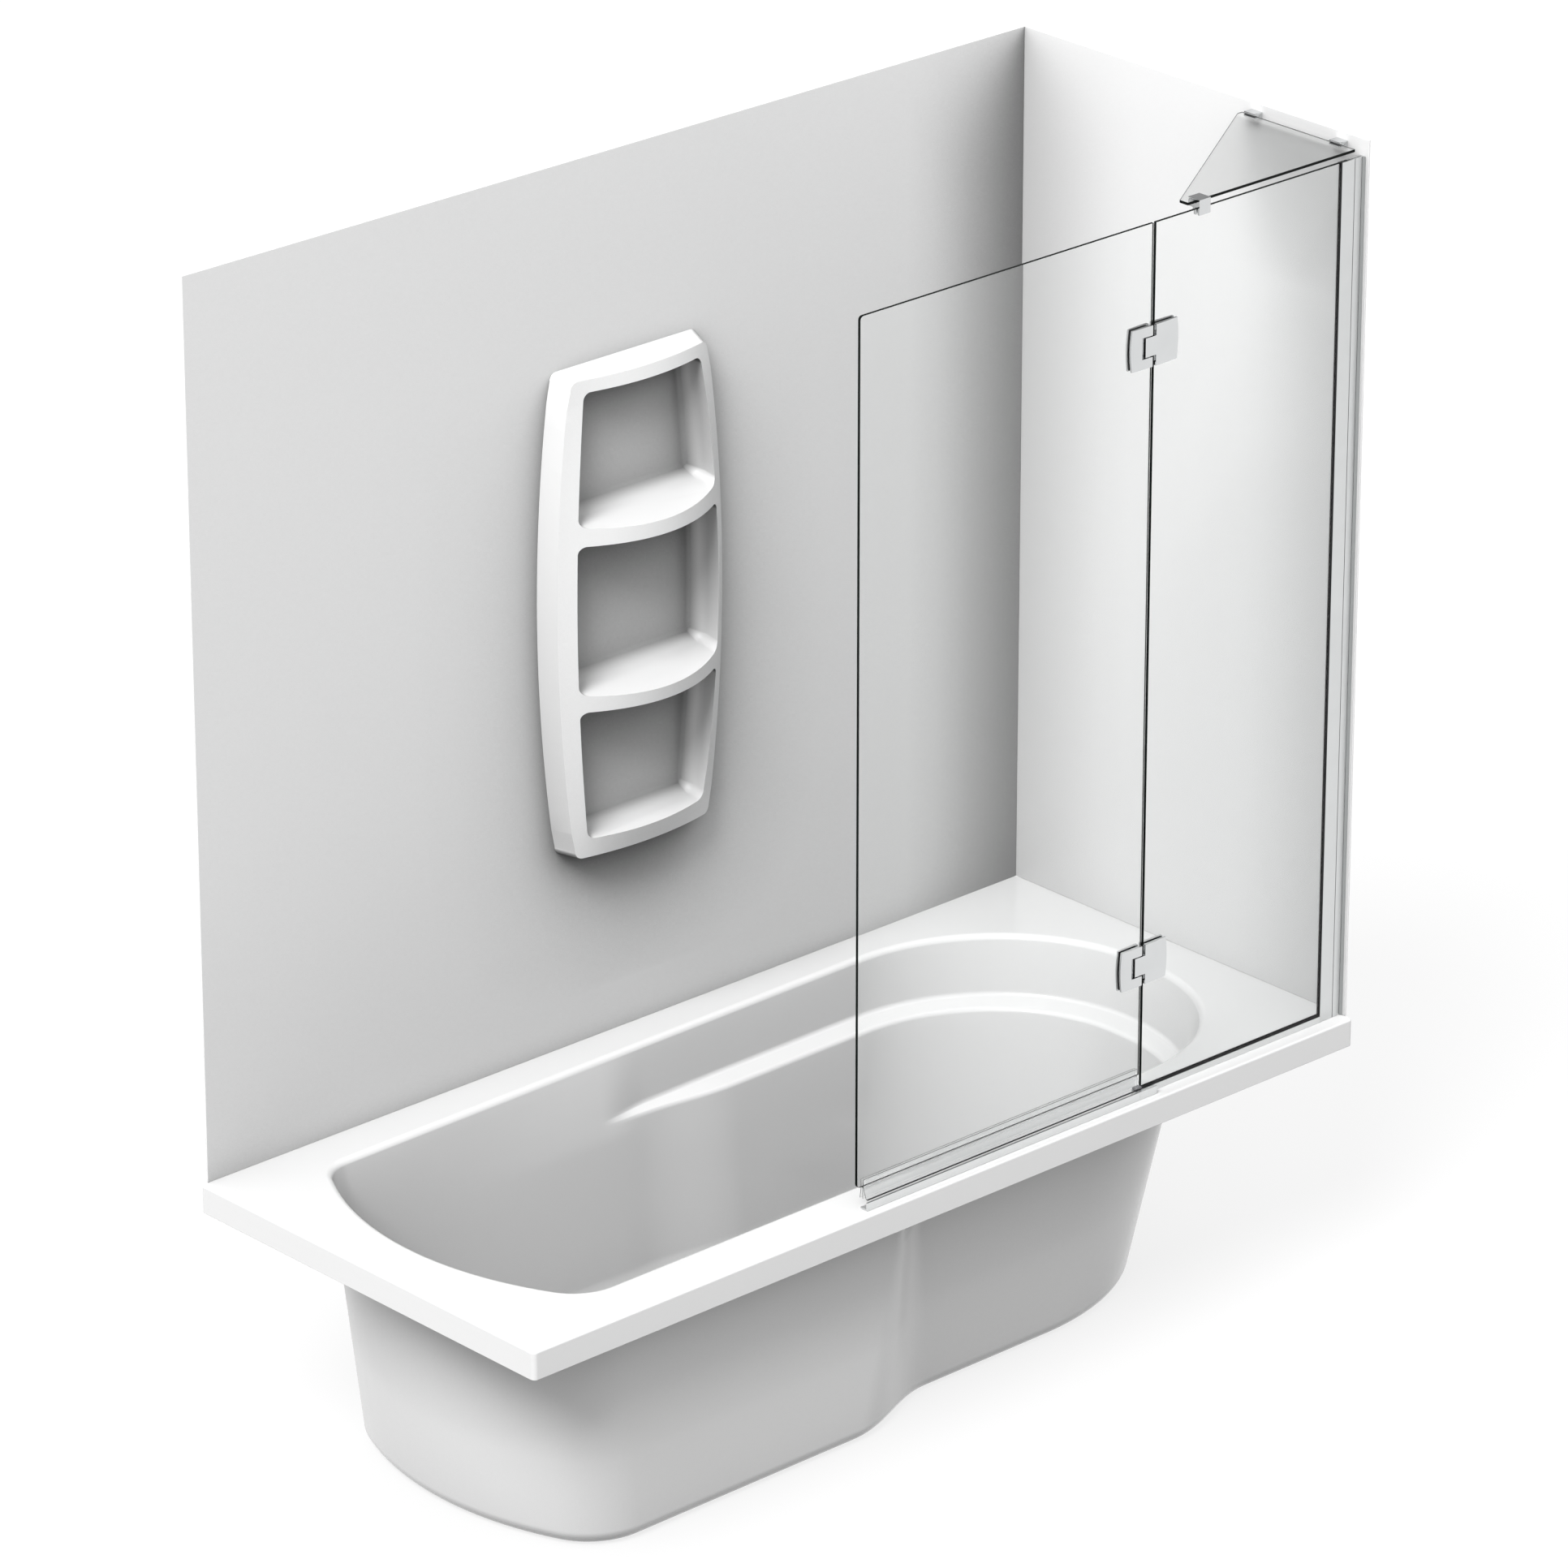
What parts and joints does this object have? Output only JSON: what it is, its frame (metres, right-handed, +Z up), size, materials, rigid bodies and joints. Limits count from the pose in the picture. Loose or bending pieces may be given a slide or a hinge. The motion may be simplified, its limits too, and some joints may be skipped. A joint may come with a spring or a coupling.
{
  "type": "shower bath",
  "caption": "White shower bath with a hinged glass screen, a triangular glass brace, two wall panels and a bowed three pocket shelf unit on the long wall.",
  "frame": {"origin": "Middle of the bounding box on the floor: x and y half way along and across the bath's rim, z on the floor.", "axes": "+X along the bath to the end wall with the screen's profile, +Y to the long back wall, +Z up."},
  "size_m": [1.68, 0.75, 1.877],
  "materials": {
    "white_acrylic": "gloss",
    "grey_panel": "satin",
    "satin_aluminium": "satin",
    "polished_chrome": "polished",
    "clear_glass": "clear",
    "clear_vinyl": "clear",
    "black_rubber": "matte",
    "grey_plastic": "matte",
    "grey_sealant": "matte",
    "resin_board": "raw"
  },
  "bodies": {
    "bath": {"bath_shell": "white_acrylic", "base_board": "resin_board", "waste_body": "polished_chrome", "flange_washer": "black_rubber", "back_washer": "black_rubber", "back_nut": "grey_plastic", "back_wall_panel": "grey_panel", "end_wall_panel": "grey_panel", "shelf_unit": "white_acrylic", "jamb_profile": "satin_aluminium", "wall_profile": "satin_aluminium", "sealant_strip": "grey_sealant", "fixed_glass": "clear_glass", "threshold_rail": "satin_aluminium", "rail_joiner": "satin_aluminium", "glazing_rail": "satin_aluminium", "glazing_strip": "black_rubber", "rail_end_block": "grey_plastic", "brace_glass": "clear_glass", "panel_clamp": "polished_chrome", "wall_profile_screw_1": "polished_chrome", "wall_profile_screw_2": "polished_chrome", "wall_profile_screw_3": "polished_chrome", "wall_clamp_1": "polished_chrome", "wall_clamp_pad_1": "black_rubber", "wall_clamp_2": "polished_chrome", "wall_clamp_pad_2": "black_rubber", "lower_fixed_leaf_front": "polished_chrome", "lower_fixed_leaf_back": "polished_chrome", "lower_pivot_pin": "polished_chrome", "lower_fixed_screw_low": "polished_chrome", "lower_fixed_screw_high": "polished_chrome", "lower_fixed_gasket": "black_rubber", "upper_fixed_leaf_front": "polished_chrome", "upper_fixed_leaf_back": "polished_chrome", "upper_pivot_pin": "polished_chrome", "upper_fixed_screw_low": "polished_chrome", "upper_fixed_screw_high": "polished_chrome", "upper_fixed_gasket": "black_rubber"},
    "swing_panel": {"swing_glass": "clear_glass", "drip_seal": "clear_vinyl", "drip_seal_lip": "black_rubber", "lower_swing_leaf_front": "polished_chrome", "lower_swing_leaf_back": "polished_chrome", "lower_swing_gasket": "black_rubber", "lower_swing_screw_low": "polished_chrome", "lower_swing_screw_high": "polished_chrome", "upper_swing_leaf_front": "polished_chrome", "upper_swing_leaf_back": "polished_chrome", "upper_swing_gasket": "black_rubber", "upper_swing_screw_low": "polished_chrome", "upper_swing_screw_high": "polished_chrome"},
    "plug": {"plug_cap": "polished_chrome", "plug_seal": "black_rubber"}
  },
  "joints": [
    {"name": "swing", "type": "hinge", "parent": "bath", "child": "swing_panel", "pos_m": [0.389, -0.346, 0.45], "axis": [0, 0, -1], "range_deg": [0, 90]},
    {"name": "plug_lift", "type": "slide", "parent": "bath", "child": "plug", "axis": [0, 0, 1], "range_m": [0, 0.009]}
  ]
}
